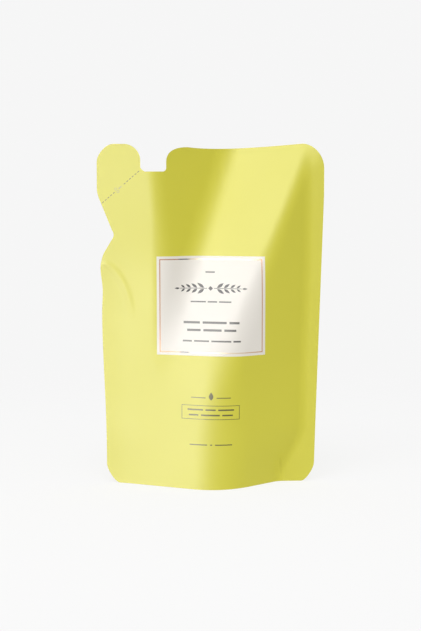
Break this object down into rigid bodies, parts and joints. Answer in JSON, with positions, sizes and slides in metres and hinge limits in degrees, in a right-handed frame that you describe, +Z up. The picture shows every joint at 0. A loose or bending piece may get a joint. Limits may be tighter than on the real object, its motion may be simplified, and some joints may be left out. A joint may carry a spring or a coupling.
{
  "type": "hand soap refill pack",
  "caption": "Filled stand-up pouch of welded film with a tear-off corner spout, folded panels and a bottom gusset that spreads so it stands upright.",
  "frame": {"origin": "on the floor, under the middle of the pouch's overall box", "axes": "+Z up; the printed front faces -Y; +X to the right as seen from the front, so the spout is at -X"},
  "size_m": [0.1292, 0.048, 0.194],
  "materials": {
    "film": "satin printed film, lemon yellow, with a cream label field, a copper foil frame and small dark marks on the front"
  },
  "bodies": {
    "root": {"refill_pouch": "film"}
  },
  "joints": []
}
